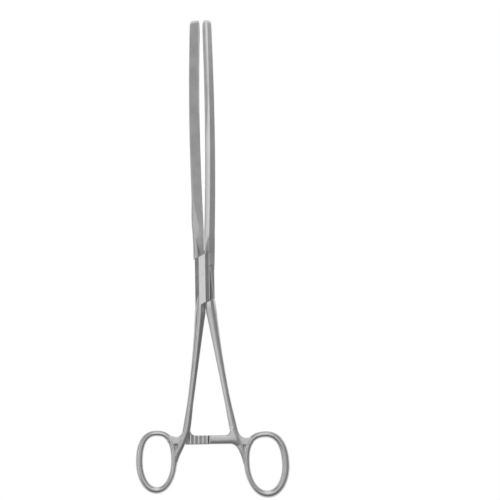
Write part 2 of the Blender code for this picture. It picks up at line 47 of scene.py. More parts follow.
# The clamp is drawn flat about its pivot, jaws along +Y and handles along -Y, then laid in its frame.
lockHinge = frame["joints"][0]
restTilt = math.atan2(-lockHinge["axis"][1], lockHinge["axis"][2])
clampFrame = Matrix.Translation(lockHinge["pos_m"]) @ Matrix.Rotation(restTilt, 4, "X")


# Small helpers for meshes

def mix(start, end, share):
    return start + (end - start) * share


def clamp01(value):
    return min(max(value, 0), 1)


def smoothStep(value):
    value = clamp01(value)
    return value * value * (3 - 2 * value)


def turned(x, y, angle):
    return x * math.cos(angle) - y * math.sin(angle), x * math.sin(angle) + y * math.cos(angle)


def addObject(name, form):
    bmesh.ops.recalc_face_normals(form, faces=form.faces)
    mesh = bpy.data.meshes.new(name)
    form.to_mesh(mesh)
    form.free()
    piece = bpy.data.objects.new(name, mesh)
    bpy.context.scene.collection.objects.link(piece)
    return piece


def skin(name, sections, closed=False):
    # rings of points joined one to the next; open ends are capped
    form = bmesh.new()
    loops = [[form.verts.new(point) for point in section] for section in sections]
    count = len(loops[0])
    for index in range(len(loops) if closed else len(loops) - 1):
        here = loops[index]
        there = loops[(index + 1) % len(loops)]
        for k in range(count):
            form.faces.new((here[k], here[(k + 1) % count], there[(k + 1) % count], there[k]))
    if not closed:
        form.faces.new(loops[0])
        form.faces.new(loops[-1])
    return addObject(name, form)


def slab(name, outline, low, high):
    return skin(name, [[Vector((x, y, z)) for x, y in outline] for z in (low, high)])


def roundedCorner(before, corner, after, radius, steps=4):
    # a short curve in the corner's place, that starts and ends one radius away
    most = 0.45     # of a side's length, so that two corners never meet
    here = Vector(corner)
    back = Vector(before) - here
    ahead = Vector(after) - here
    start = here + back.normalized() * min(radius, most * back.length)
    end = here + ahead.normalized() * min(radius, most * ahead.length)
    shares = [k / steps for k in range(steps + 1)]
    return [start * (1 - u) ** 2 + here * 2 * u * (1 - u) + end * u ** 2 for u in shares]


def roundedOutline(corners, radius, steps=4):
    points = []
    for index, corner in enumerate(corners):
        after = corners[(index + 1) % len(corners)]
        points += roundedCorner(corners[index - 1], corner, after, radius, steps)
    return points


def takeMesh(piece):
    depsgraph = bpy.context.evaluated_depsgraph_get()
    mesh = bpy.data.meshes.new_from_object(piece.evaluated_get(depsgraph))
    piece.modifiers.clear()
    piece.data = mesh


def combine(body, tools, operation):
    for tool in tools:
        change = body.modifiers.new("combine", "BOOLEAN")
        change.operation = operation
        change.solver = "MANIFOLD"
        change.object = tool
        takeMesh(body)
        bpy.data.objects.remove(tool)


def gather(name, pieces):
    # several closed skins in one mesh, ready to be remeshed as one
    form = bmesh.new()
    for piece in pieces:
        form.from_mesh(piece.data)
        bpy.data.objects.remove(piece)
    mesh = bpy.data.meshes.new(name)
    form.to_mesh(mesh)
    form.free()
    whole = bpy.data.objects.new(name, mesh)
    bpy.context.scene.collection.objects.link(whole)
    return whole


def forge(piece, voxel, passes):
    # one smooth skin, with small natural fillets where the pieces run into each other
    change = piece.modifiers.new("forge", "REMESH")
    change.mode = "VOXEL"
    change.voxel_size = voxel
    takeMesh(piece)
    soften = piece.modifiers.new("soften", "SMOOTH")
    soften.factor = 0.5
    soften.iterations = passes
    takeMesh(piece)


# Jaws

jawDesign = {
    "width": 8.36 * mm,
    "straight": 60 * mm,
    "bends": ((92 * mm, math.radians(28)), (172 * mm, math.radians(12.5))),
    "root": 5 * mm,
    "partStart": 25 * mm,
    "tipOpening": 0.5 * mm,
    "tipRound": 5.5 * mm,
    "tipThickness": 1.2 * mm,
    "tipInnerRound": 2.2 * mm,
    "edgeRound": 0.25 * mm,
    "backRound": 0.6 * mm,
    "backBevelSlope": 0.5,
    "backBevelEnd": 75 * mm,
    "sideRound": 0.8 * mm,
    "heelPlace": 27 * mm,
    "heelReach": 17 * mm,
    "stations": 150,
    "grooves": 4,
    "grooveWidth": 0.9 * mm,
    "grooveDepth": 0.45 * mm,
    "grooveRunOut": 3 * mm,
    # across one groove: place and depth, as shares
    "grooveProfile": ((-1, 0), (-0.72, 0.2), (-0.3, 0.8), (0, 1), (0.3, 0.8), (0.72, 0.2), (1, 0)),
    # how far round its end the jaw's last section is
    "endTurn": math.radians(88),
    "swellPlace": 31 * mm,
    "swellReach": 15 * mm,
    "bevelSlope": 0.5,
    "bevelPlaces": (70 * mm, 95 * mm),
}
femaleJaw = {
    "side": 1, "bow": 0.95 * mm, "skew": 0.85, "rootThickness": 5.1 * mm, "thickness": 5.6 * mm,
    "taper": 0.85 * mm, "swell": 0, "land": 2.65 * mm, "slope": math.radians(23),
    "backBevel": (0.3 * mm, 0.2 * mm), "heel": 0, "edgeBevel": 0.8 * mm, "landDrop": 0.12 * mm,
}
maleJaw = {
    "side": -1, "bow": 1.08 * mm, "skew": 1.0, "rootThickness": 5.8 * mm, "thickness": 5.72 * mm,
    "taper": 0.35 * mm, "swell": 0.55 * mm, "land": 0.3 * mm, "slope": math.radians(17),
    "backBevel": (1.6 * mm, 0.5 * mm), "heel": 2.2 * mm, "edgeBevel": 0.3 * mm, "landDrop": 0,
}


def jawLength():
    bent = sum(radius * angle for radius, angle in jawDesign["bends"])
    return jawDesign["straight"] + bent + jawDesign["width"] / 2


def jawPoint(travel):
    # place and heading on the jaw's middle line, which bends away below the clamp's plane
    y = min(travel, jawDesign["straight"])
    z = 0
    heading = 0
    rest = max(travel - jawDesign["straight"], 0)
    for radius, angle in jawDesign["bends"]:
        step = min(rest, radius * angle)
        after = heading + step / radius
        y += radius * (math.sin(after) - math.sin(heading))
        z -= radius * (math.cos(heading) - math.cos(after))
        heading = after
        rest -= step
    return Vector((0, y + rest * math.cos(heading), z - rest * math.sin(heading))), heading


def jawThickness(travel, jaw):
    # from the grooved face to the back, with the swell where the jaw leaves the lock
    share = clamp01((travel - jawDesign["partStart"]) / (jawLength() - jawDesign["partStart"]))
    thick = mix(jaw["rootThickness"], jaw["thickness"], smoothStep(travel / jawDesign["partStart"]))
    thick += jaw["swell"] * smoothStep(1 - abs(travel - jawDesign["swellPlace"]) / jawDesign["swellReach"])
    return thick - jaw["taper"] * share


def jawSection(travel, jaw):
    design = jawDesign
    end = jawLength()
    centre, heading = jawPoint(travel)
    across = Vector((0, math.sin(heading), math.cos(heading)))
    widest = design["width"] / 2
    past = min(max(0, travel - (end - widest)) / widest, 0.99)
    squeeze = math.sqrt(1 - past ** 2)
    half = widest * squeeze
    share = clamp01((travel - design["partStart"]) / (end - design["partStart"]))
    inner = hingeGap / 2 + jaw["bow"] * math.sin(math.pi * share ** jaw["skew"])
    inner += design["tipOpening"] * share
    rounding = max(0, travel - (end - design["tipRound"])) / design["tipRound"]
    fullness = math.sqrt(max(1 - rounding ** 2, 0))
    thick = mix(design["tipThickness"], jawThickness(travel, jaw), fullness)
    inner += design["tipInnerRound"] * (1 - fullness)
    runIn = smoothStep((travel - design["partStart"]) / design["grooveRunOut"])
    depth = design["grooveDepth"] * runIn * squeeze
    edge = design["edgeRound"] * squeeze * fullness
    firstPlace, lastPlace = design["bevelPlaces"]
    edgeShare = smoothStep((travel - firstPlace) / (lastPlace - firstPlace))
    bevel = jaw["edgeBevel"] * edgeShare * squeeze * fullness
    bevel += edge
    points = []
    pitch = design["width"] / (design["grooves"] + 1)
    for index in range(design["grooves"]):
        middle = (index - (design["grooves"] - 1) / 2) * pitch
        for place, sink in design["grooveProfile"]:
            points.append((depth * sink, (middle + place * design["grooveWidth"] / 2) * squeeze))
    # the land along each edge, then a back that slopes away from it to a bevelled side
    land = min(jaw["land"], jaw["land"] * thick / (jaw["thickness"] - jaw["taper"]))
    bevelShare = smoothStep((travel - design["root"]) / (design["backBevelEnd"] - design["root"]))
    heel = smoothStep(1 - abs(travel - design["heelPlace"]) / design["heelReach"])
    backBevel = (mix(*jaw["backBevel"], bevelShare) + jaw["heel"] * heel) * fullness
    upper = (thick - backBevel, half - (thick - backBevel - land) * math.tan(jaw["slope"]) * squeeze)
    lower = (thick, upper[1] - backBevel * design["backBevelSlope"])
    drop = jaw["landDrop"] * squeeze
    lip = (0, half - drop - bevel * design["bevelSlope"])
    rise = (bevel, half - drop)
    crown = (mix(bevel, land, 0.5), half)
    back = roundedCorner((0, 0), lip, rise, edge / 2)
    back += roundedCorner(lip, rise, crown, edge)
    back += roundedCorner(rise, crown, (land, half), edge)
    back += roundedCorner(crown, (land, half), upper, edge)
    back += roundedCorner((land, half), upper, lower, design["backRound"], 6)
    back += roundedCorner(upper, lower, (thick, 0), design["sideRound"], 8)
    points += back + [(x, -n) for x, n in reversed(back)]
    return [centre + Vector((jaw["side"] * (inner + x), 0, 0)) + across * n for x, n in points]


def makeJaw(name, jaw):
    end = jawLength()
    reach = end - max(jawDesign["tipRound"], jawDesign["width"] / 2)
    count = jawDesign["stations"]
    stops = [mix(jawDesign["root"], reach, k / count) for k in range(count)]
    stops += [mix(reach, end, math.sin(jawDesign["endTurn"] * k / 24)) for k in range(25)]
    return skin(name, [jawSection(travel, jaw) for travel in stops])


# Handles: shank, finger ring and ratchet arm

handleDesign = {
    "lean": math.radians(1.17),
    "rootOffset": 1.05 * mm,
    "rootSlope": 0.105,
    "bowRadius": 1040 * mm,
    "top": 4 * mm,
    "taperStart": 17 * mm,
    "taperEnd": 64 * mm,
    "thinStart": 14 * mm,
    "thinEnd": 60 * mm,
    "rootWidth": 5.8 * mm,
    "width": 3.5 * mm,
    "flare": 0.7 * mm,
    "thickness": 4.3 * mm,
    "lockThickness": 8.6 * mm,
    "sideHeight": 0.5,
    "edgeRound": 0.3 * mm,
    "bendStart": 78 * mm,
    "bendLength": 20.5 * mm,
    "bendSlope": 0.1,
    "voxel": 0.22 * mm,
    "smoothing": 9,
}
ringDesign = {
    "thickness": 3.96 * mm,
    "thinPlace": math.radians(205),
    "topFullness": 2.45,
    "bottomFullness": 2.05,
    "stations": 150,
    "sides": 28,
    "webThickness": 1.6 * mm,
    "webTopPlace": math.radians(118),
    "webForkPlaces": (math.radians(176), math.radians(124)),
    "webShankShares": (0.15, 0.5, 0.85),
    "webShoulder": 4.1 * mm,
    "forkPlaces": (0.78, 1.0),
    "forkRingPlaces": (math.radians(184), math.radians(164)),
    "forkInset": 0.35 * mm,
    "webShoulderInset": 0.25 * mm,
    "webSharpness": 2.4,
}
leftRing = {
    "side": -1, "centre": (28.8 * mm, -95.9 * mm), "opening": (14.85 * mm, 26.9 * mm),
    "lean": math.radians(2.4), "wire": 3.85 * mm, "topWire": 3.1 * mm, "thinning": 0.6 * mm,
    "fork": -84.2 * mm, "armFillets": (4.2 * mm, 0.5 * mm), "shankFade": 0.36,
    "land": (0.40, 0.70), "shoulder": (0.88, 0.76),
}
rightRing = {
    "side": 1, "centre": (29.1 * mm, -99.2 * mm), "opening": (16.9 * mm, 28.1 * mm),
    "lean": math.radians(2.2), "wire": 4.2 * mm, "topWire": 3.4 * mm, "thinning": 1.0 * mm,
    "fork": -85.6 * mm, "armFillets": (3.6 * mm, 2.5 * mm), "shankFade": 0.24,
    "land": (0.05, 0.52), "shoulder": (0.78, 0.84),
}
ratchetDesign = {
    "level": -85.3 * mm,
    "height": 4.8 * mm,
    "thickness": 2.6 * mm,
    "rearTip": 9.6 * mm,
    "frontTip": 1.0 * mm,
    "bevelPlaces": (-0.12, -0.5),
    "bevelSlopes": (0.14, 0.42),
    "tipRound": 1.2 * mm,
    "tipTrim": 0.5 * mm,
    "edgeRound": 0.75 * mm,
    "toothPitch": 2.2 * mm,
    "toothDepth": 0.75 * mm,
    "toothLand": 0.6 * mm,
    "toothRoot": 0.12 * mm,
    "toothMargins": (0.15 * mm, 0.8 * mm),
}


def toClamp(x, y, z=0):
    # from the handles' own lines, which lean a little, to the clamp's
    px, py = turned(x, y, handleDesign["lean"])
    return Vector((px, py, z))


def shankOffset(distance):
    design = handleDesign
    return design["rootOffset"] + design["rootSlope"] * distance + distance ** 2 / (2 * design["bowRadius"])


def shankMiddle(distance, ring):
    design = handleDesign
    if distance <= design["bendStart"]:
        return shankOffset(distance)
    u = (distance - design["bendStart"]) / design["bendLength"]
    slope = design["rootSlope"] + design["bendStart"] / design["bowRadius"]
    ringSide = ring["centre"][0] - ring["opening"][0] / 2 - ring["wire"] / 2
    places = mix(shankOffset(design["bendStart"]), ringSide, smoothStep(u))
    slopes = (u ** 3 - 2 * u ** 2 + u) * slope + (u ** 3 - u ** 2) * design["bendSlope"]
    return places + design["bendLength"] * slopes


def shankSection(distance, ring):
    design = handleDesign
    taper = clamp01((distance - design["taperStart"]) / (design["taperEnd"] - design["taperStart"]))
    width = mix(design["width"], design["rootWidth"], (1 - taper) ** 2)
    flared = (distance - design["taperEnd"]) / (design["bendStart"] - design["taperEnd"])
    width += design["flare"] * smoothStep(flared)
    middle = shankMiddle(distance, ring)
    outer = middle + width / 2
    inner = max(hingeGap / 2, middle - width / 2)
    thin = clamp01((distance - design["thinStart"]) / (design["thinEnd"] - design["thinStart"]))
    half = mix(design["thickness"], design["lockThickness"], (1 - thin) ** 2) / 2
    bend = (distance - design["bendStart"]) / design["bendLength"]
    fade = 1 - ring["shankFade"] * smoothStep(2 * bend - 1)
    half *= fade
    centre = (outer + inner) / 2
    width = (outer - inner) * fade
    inner = centre - width / 2
    side = design["sideHeight"]
    front = [(0, side), (ring["land"][0], 1), (ring["land"][1], 1), ring["shoulder"], (1, side)]
    corners = [(inner + u * width, v * half) for u, v in front]
    corners += [(x, -z) for x, z in reversed(corners)]
    outline = roundedOutline(corners, design["edgeRound"])
    return [toClamp(ring["side"] * x, -distance, z) for x, z in outline]


def makeShank(ring):
    end = handleDesign["bendStart"] + handleDesign["bendLength"]
    stops = [mix(handleDesign["top"], end, k / 100) for k in range(101)]
    return skin("shank", [shankSection(distance, ring) for distance in stops])


def ringCurve(angle, ring, grow=0):
    # an upright egg, fuller at the top than at the bottom
    width, height = ring["opening"]
    power = ringDesign["topFullness"] if math.sin(angle) > 0 else ringDesign["bottomFullness"]
    wire = mix(ring["wire"], ring["topWire"], max(math.sin(angle), 0) ** 2)
    wire -= ring["thinning"] * max(math.cos(angle - ringDesign["thinPlace"]), 0) ** 2
    a = width / 2 + wire / 2 + grow * wire / 2
    b = height / 2 + wire / 2 + grow * wire / 2
    c, s = math.cos(angle), math.sin(angle)
    x = a * math.copysign(abs(c) ** (2 / power), c)
    y = b * math.copysign(abs(s) ** (2 / power), s)
    x, y = turned(x, y, ring["lean"])
    return ring["side"] * (ring["centre"][0] + x), ring["centre"][1] + y, wire


def makeRing(ring):
    step = 2 * math.pi / ringDesign["stations"]
    sections = []
    for index in range(ringDesign["stations"]):
        angle = step * index
        x, y, wire = ringCurve(angle, ring)
        ax, ay, _ = ringCurve(angle + step, ring)
        bx, by, _ = ringCurve(angle - step, ring)
        along = Vector((ax - bx, ay - by)).normalized()
        section = []
        for k in range(ringDesign["sides"]):
            t = 2 * math.pi * k / ringDesign["sides"]
            reach = wire / 2 * math.cos(t)
            level = ringDesign["thickness"] / 2 * math.sin(t)
            section.append(toClamp(x + along.y * reach, y - along.x * reach, level))
        sections.append(section)
    return skin("ring", sections, closed=True)


def webEdge(ring, drop=0):
    # the hollow upper edge between the ring's shoulder and the shank
    x, y, _ = ringCurve(ringDesign["webTopPlace"], ring, grow=0.5)
    start = Vector((x, y - drop))
    distance = handleDesign["bendStart"] + drop
    end = Vector((ring["side"] * (shankMiddle(distance, ring) + handleDesign["width"] / 4), -distance))
    out = shankMiddle(-ring["fork"], ring) + (handleDesign["width"] + handleDesign["flare"]) / 2
    corner = Vector((ring["side"] * out, ring["fork"] - drop))
    curve = []
    for k in range(25):
        u = k / 24
        weights = ((1 - u) ** 2, 2 * ringDesign["webSharpness"] * u * (1 - u), u ** 2)
        curve.append((start * weights[0] + corner * weights[1] + end * weights[2]) / sum(weights))
    return curve


def alongShank(ring, shares):
    # points on the bend's middle line
    distances = [handleDesign["bendStart"] + handleDesign["bendLength"] * share for share in shares]
    return [Vector((ring["side"] * shankMiddle(distance, ring), -distance)) for distance in distances]


def alongRing(ring, places, steps=8):
    return [Vector(ringCurve(mix(*places, k / steps), ring)[:2]) for k in range(steps + 1)]


def makeWeb(ring):
    # a thin floor, a thicker shoulder along its upper edge, and the fork where ring and shank run together
    design = ringDesign
    edge = webEdge(ring)
    forkShares = [mix(*design["forkPlaces"], k / 8) for k in range(9)]
    outlines = {
        "web": edge + alongShank(ring, design["webShankShares"]) + alongRing(ring, design["webForkPlaces"]),
        "webShoulder": edge + webEdge(ring, design["webShoulder"])[::-1],
        "fork": alongShank(ring, forkShares) + alongRing(ring, design["forkRingPlaces"]),
    }
    halves = {
        "web": design["webThickness"] / 2,
        "webShoulder": design["thickness"] / 2 - design["webShoulderInset"],
        "fork": design["thickness"] / 2 - design["forkInset"],
    }
    return [
        slab(name, [toClamp(p.x, p.y).xy for p in outline], -halves[name], halves[name])
        for name, outline in outlines.items()
    ]


def shankX(y, ring):
    return toClamp(ring["side"] * shankMiddle(-y, ring), y).x


def makeArm(ring, tip, face):
    design = ratchetDesign
    side = ring["side"]
    rootX = shankX(design["level"], ring)
    edge = (handleDesign["width"] + handleDesign["flare"]) / 2
    upper, lower = ring["armFillets"]
    reach = abs(rootX - tip)
    longest = max(upper, lower)
    stops = [0] + [edge + longest * (1 - math.cos(math.pi / 2 * k / 16)) for k in range(17)]
    stops += [mix(edge + longest, reach - design["tipRound"], k / 8) for k in range(1, 8)]
    stops += [reach - design["tipRound"] * (1 - k / 8) for k in range(9)]
    sections = []
    for travel in stops:
        past = max(travel - edge, 0)
        lifts = [radius - math.sqrt(radius ** 2 - max(radius - past, 0) ** 2) for radius in (upper, lower)]
        close = min(reach - travel, design["tipRound"]) / design["tipRound"]
        trim = design["tipTrim"] * (1 - math.sqrt(1 - (1 - close) ** 2))
        top = design["height"] / 2 + lifts[0] - trim
        bottom = -design["height"] / 2 - lifts[1] + trim
        inside = face * hingeGap / 2
        outside = face * (hingeGap / 2 + design["thickness"] - trim)
        middle = (top + bottom) / 2
        half = (top - bottom) / 2
        # flat inside for the teeth; outside a flat with a long bevel below it in two slopes
        crease, fold = [middle + half * place for place in design["bevelPlaces"]]
        gentle, steep = design["bevelSlopes"]
        sunk = outside - face * gentle * (crease - fold)
        foot = sunk - face * steep * (fold - bottom)
        corners = [
            (bottom, inside), (top, inside), (top, outside), (crease, outside), (fold, sunk), (bottom, foot),
        ]
        section = corners[:2]
        for k in (2, 3, 4, 5):
            section += roundedCorner(corners[k - 1], corners[k], corners[(k + 1) % 6], design["edgeRound"])
        points = []
        for y, z in section:
            start = mix(shankX(design["level"] + y, ring), rootX, past / (reach - edge))
            points.append(Vector((start - side * travel, design["level"] + y, z)))
        sections.append(points)
    return skin("arm", sections)


def toothNotches(ring, tip, face):
    # saw teeth with their steep faces towards the arm's own shank, so that the two rows hook together
    design = ratchetDesign
    side = ring["side"]
    rootX = shankX(design["level"], ring)
    first = (handleDesign["width"] + handleDesign["flare"]) / 2 + design["toothMargins"][0]
    count = int((abs(rootX - tip) - first - design["toothMargins"][1]) / design["toothPitch"])
    level = face * hingeGap / 2
    lip = level - face * design["toothDepth"]
    deep = level + face * design["toothDepth"]
    notches = []
    for index in range(count):
        gentle = rootX - side * (first + index * design["toothPitch"])
        steep = gentle - side * (design["toothPitch"] - design["toothLand"])
        root = steep + side * design["toothRoot"]
        outline = ((steep, lip), (gentle, lip), (gentle, level), (root, deep), (steep, deep))
        reach = 2 * design["height"]
        ends = (design["level"] - reach, design["level"] + reach)
        notches.append(skin("notch", [[Vector((x, y, z)) for x, z in outline] for y in ends]))
    return notches


def makeHandle(name, ring, tip, face):
    handle = gather(name, [makeShank(ring), makeRing(ring), *makeWeb(ring), makeArm(ring, tip, face)])
    forge(handle, handleDesign["voxel"], handleDesign["smoothing"])
    combine(handle, toothNotches(ring, tip, face), "DIFFERENCE")
    return handle


# Box lock

lockDesign = {
    "width": 10.3 * mm,
    "thickness": 8.6 * mm,
    "tongue": 2.5 * mm,
    "upperShoulder": 11.9 * mm,
    "lowerShoulder": 10.9 * mm,
    "shoulderAngle": math.radians(29),
    "corner": 14 * mm,
    "plate": (-3.1 * mm, 0.4 * mm),
    "slopes": (0.85, 0.62),
    "flankSlope": 0.46,
    "ridge": 2.6 * mm,
    "ridgeWidth": 0.15 * mm,
    "ridgeHeight": 0.15 * mm,
    "ridgeTop": 0.2 * mm,
    "edgeRound": 0.12 * mm,
    "reliefTop": 7.8 * mm,
    "tongueTop": 16 * mm,
    "tongueBottom": -9.3 * mm,
    "endBevel": (0.5 * mm, 0.4 * mm),
    "tongueInset": 0.2 * mm,
    "tongueStand": 0.05 * mm,
    "tongueEdge": 4.7 * mm,
    "tongueEdgeDrop": 0.6 * mm,
    "crest": ((3.16 * mm, 4.84 * mm), (4.8 * mm, -9.8 * mm)),
    "crestWidth": 0.55 * mm,
    "crestSlopes": (0.35, 0.5),
    "crestReach": (2.3 * mm, 6.4 * mm),
    "slotSideGap": 0.5 * mm,
    "slotEndGap": 1.2 * mm,
    "recessEnds": (27 * mm, 25.3 * mm),
    "recessSides": (4.5 * mm, 3.2 * mm),
    "recessDepth": 2.6 * mm,
    "recessClear": 0.02 * mm,
    "flankBevelEnd": 32 * mm,
    "flankBevelEase": 2.4,
    "pinRadius": 1.5 * mm,
    "pinGap": 0.03 * mm,
    "pinEdge": 0.04 * mm,
}


def onShoulder(distance, x):
    angle = lockDesign["shoulderAngle"]
    return (distance + x * math.sin(angle)) / math.cos(angle)


def farLine(distance):
    angle = lockDesign["shoulderAngle"]
    middle = Vector((-math.sin(angle), math.cos(angle))) * distance
    along = Vector((math.cos(angle), math.sin(angle))) * 2 * lockDesign["width"]
    return middle - along, middle + along


def lockFront():
    # from left to right: bevel, plate, bevel, a fine ridge and the flank
    design = lockDesign
    half = design["width"] / 2
    high = design["thickness"] / 2
    left, right = design["plate"]
    leftSlope, rightSlope = design["slopes"]
    foot = design["ridge"] - design["ridgeWidth"] - design["ridgeTop"]
    low = high - (foot - right) * rightSlope
    top = low + design["ridgeHeight"]
    return [
        (-half, high - (left + half) * leftSlope), (left, high), (right, high), (foot, low),
        (design["ridge"] - design["ridgeTop"], top), (design["ridge"], top),
        (half, top - (half - design["ridge"]) * design["flankSlope"]),
    ]


def lockSection():
    # the lock's whole section, front and back
    front = lockFront()
    return roundedOutline(front + [(x, -z) for x, z in reversed(front)], lockDesign["edgeRound"])


def lockBar(name, length):
    # that section drawn along the clamp
    return skin(name, [[Vector((p.x, y, p.y)) for p in lockSection()] for y in (-length / 2, length / 2)])


def makeCheeks():
    design = lockDesign
    half = design["width"] / 2
    seam = hingeGap / 2
    # their lower end has a small bevel of its own
    width, drop = design["endBevel"]
    low = -design["lowerShoulder"]
    sections = []
    for distance, lost in ((low, drop), (low + width, 0), (2 * design["width"], 0)):
        sections.append([
            Vector((p.x, onShoulder(distance, p.x), p.y - math.copysign(lost, p.y))) for p in lockSection()
        ])
    block = skin("cheeks", sections)
    out = 2 * half
    high = design["upperShoulder"]
    outline = (
        (-out, onShoulder(2 * low, -out)), (out, onShoulder(2 * low, out)),
        (out, design["corner"]), (half, design["corner"]),
        (seam, onShoulder(high, seam)), (-out, onShoulder(high, -out)),
    )
    combine(block, [slab("keep", outline, -design["thickness"], design["thickness"])], "INTERSECT")
    return block


def tongueCorners():
    top = Vector((-hingeGap / 2, lockDesign["tongueTop"]))
    side = Vector((lockDesign["ridge"] - lockDesign["tongueInset"], lockDesign["reliefTop"]))
    edge = Vector((lockDesign["tongueEdge"], lockDesign["reliefTop"] - lockDesign["tongueEdgeDrop"]))
    low = Vector((lockDesign["width"] / 2, lockDesign["tongueBottom"]))
    return [top, side, edge, low]


def makeTongue():
    right = tongueCorners()
    half = lockDesign["tongue"] / 2
    return slab("tongue", right + [-point for point in right], -half, half)


def shoulderStrip(name, low, high, gap=hingeGap):
    # the slanting strip between the two shoulders
    bottom = farLine(-lockDesign["lowerShoulder"] - gap)
    top = farLine(lockDesign["upperShoulder"] + gap)
    return slab(name, [(p.x, p.y) for p in (bottom[0], bottom[1], top[1], top[0])], low, high)


def shoulderCutters():
    # ground away in front of the tongue, behind it, and left of it where the jaw's root swells
    half = lockDesign["tongue"] / 2 - lockDesign["tongueStand"]
    out = lockDesign["thickness"]
    left = -lockDesign["width"] / 2
    neck = shoulderStrip("neck", -out, out, hingeGap / 2)
    outline = ((3 * left, 0), (left, 0), (left, -6 * left), (3 * left, -6 * left))
    combine(neck, [slab("side", outline, -2 * out, 2 * out)], "INTERSECT")
    return [shoulderStrip("front", half, out), shoulderStrip("back", -out, -half), neck]


def crestCutters():
    # what falls away on both sides of the crest that runs along the tongue's open edge
    design = lockDesign
    half = design["tongue"] / 2
    out = design["thickness"]
    (topX, topY), (lowX, lowY) = design["crest"]
    lean = (topX - lowX) / (topY - lowY)
    cutters = []
    for side, slope, far in zip((-1, 1), design["crestSlopes"], design["crestReach"]):
        sections = []
        for y in (design["reliefTop"], -2 * design["width"]):
            near = topX + (y - topY) * lean + side * design["crestWidth"] / 2
            corners = ((near, half), (far, half - slope * abs(far - near)), (far, out), (near, out))
            sections.append([Vector((x, y, z)) for x, z in corners])
        cutter = skin("crest", sections)
        combine(cutter, [shoulderStrip("strip", -out / 2, out / 2, hingeGap / 2)], "INTERSECT")
        cutters.append(cutter)
    return cutters


def makeSlot():
    design = lockDesign
    half = design["tongue"] / 2 + hingeGap
    wide = 3 * design["width"]
    top, side = tongueCorners()[:2]
    high = top.y + design["slotEndGap"]
    step = side.y + design["slotSideGap"]
    right = [
        Vector((-wide, high)), Vector((design["slotSideGap"], high)),
        Vector((side.x + design["slotSideGap"], step)), Vector((wide, step)),
    ]
    return slab("slot", right + [-point for point in right], -half, half)


def makeRelief():
    left = lockDesign["ridge"]
    out = 2 * lockDesign["width"]
    top = lockDesign["reliefTop"]
    outline = ((left, top), (out, top), (out, -1.5 * out), (left, -1.5 * out))
    return slab("relief", outline, 0, lockDesign["thickness"])


def flankBevels():
    # the lock's right bevel and ridge run on into the jaw's root and flatten until they fade out
    design = lockDesign
    start = onShoulder(design["upperShoulder"], 0)
    out = 2 * design["width"]
    high = design["thickness"] / 2
    right = lockFront()[2:]
    rise = high - right[1][1]
    endX, endZ = right[-1]
    line = [(0, high), *right, (out, endZ - (out - endX) * design["flankSlope"])]
    stations = [(0, 0)]
    for k in range(25):
        lift = 1 - (1 - k / 24) ** design["flankBevelEase"]
        stations.append((mix(start, design["flankBevelEnd"], k / 24), rise * lift))
    stations.append((jawDesign["straight"], out))
    cutters = []
    for face in (1, -1):
        sections = []
        for y, lift in stations:
            lifts = [0, 0] + [lift] * (len(line) - 2)
            section = [(x, z + up) for (x, z), up in zip(line, lifts)] + [(out, 2 * out), (0, 2 * out)]
            sections.append([Vector((x, y, face * z)) for x, z in section])
        cutters.append(skin("flankBevel", sections))
    return cutters


def rootRecesses():
    # the recess in the jaw's root deepens in a curve towards the other half's shoulder
    design = lockDesign
    rightEnd, leftEnd = design["recessEnds"]
    leftTop, leftBottom = design["recessSides"]
    bottom = design["lowerShoulder"]
    high = jawDesign["width"] / 2
    out = design["thickness"]
    fall = math.tan(maleJaw["slope"])
    cutters = []
    for face in (1, -1):
        sections = []
        for k in range(25):
            u = k / 24
            left = -mix(leftTop, leftBottom, u)
            depth = design["recessDepth"] * u ** 2 - design["recessClear"]
            section = []
            for x, end in ((0, rightEnd), (left, leftEnd)):
                y = mix(end, bottom, u)
                section.append(Vector((x, y, face * (high + x * fall - depth))))
            section += [Vector((p.x, p.y, face * out)) for p in reversed(section)]
            sections.append(section)
        cutters.append(skin("recess", sections))
    return cutters


def makeRod(name, radius, length, sides=64):
    form = bmesh.new()
    bmesh.ops.create_cone(form, cap_ends=True, segments=sides, radius1=radius, radius2=radius, depth=length)
    return addObject(name, form)


def layDown(piece, body, node, sharpAngle=32):
    piece.data.transform(clampFrame)
    piece.data.shade_smooth()
    piece.data.set_sharp_from_angle(angle=math.radians(sharpAngle))
    weigh = piece.modifiers.new("evenShading", "WEIGHTED_NORMAL")
    weigh.keep_sharp = True
    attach(piece, body)
    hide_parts(node)


def drill(half):
    hole = makeRod("hole", lockDesign["pinRadius"] + lockDesign["pinGap"], 2 * lockDesign["thickness"])
    combine(half, [hole], "DIFFERENCE")


def makeFemaleHalf():
    half = makeJaw("femaleHalf", femaleJaw)
    combine(half, flankBevels(), "DIFFERENCE")
    combine(half, [makeCheeks(), makeHandle("handle", leftRing, ratchetDesign["rearTip"], -1)], "UNION")
    combine(half, [makeSlot(), makeRelief()], "DIFFERENCE")
    drill(half)
    return half


def makeMaleHalf():
    half = makeJaw("maleHalf", maleJaw)
    combine(half, rootRecesses(), "DIFFERENCE")
    combine(half, [makeHandle("handle", rightRing, ratchetDesign["frontTip"], 1)], "UNION")
    combine(half, shoulderCutters(), "DIFFERENCE")
    combine(half, [makeTongue()], "UNION")
    combine(half, crestCutters(), "DIFFERENCE")
    drill(half)
    return half


def makePin():
    # ground flush with the lock's plate and bevels
    pin = makeRod("pivotPin", lockDesign["pinRadius"], 2 * lockDesign["thickness"])
    combine(pin, [lockBar("flush", 4 * lockDesign["pinRadius"])], "INTERSECT")
    change = pin.modifiers.new("edge", "BEVEL")
    change.width = lockDesign["pinEdge"]
    change.segments = 2
    takeMesh(pin)
    return pin


femaleHalf = makeFemaleHalf()
print("female half made", len(femaleHalf.data.polygons))
maleHalf = makeMaleHalf()
print("male half made", len(maleHalf.data.polygons))
pivotPin = makePin()
layDown(femaleHalf, "female", "female_half")
layDown(maleHalf, "male", "male_half")
layDown(pivotPin, "female", "pivot_pin")
print("pieces laid in the frame")


# Materials

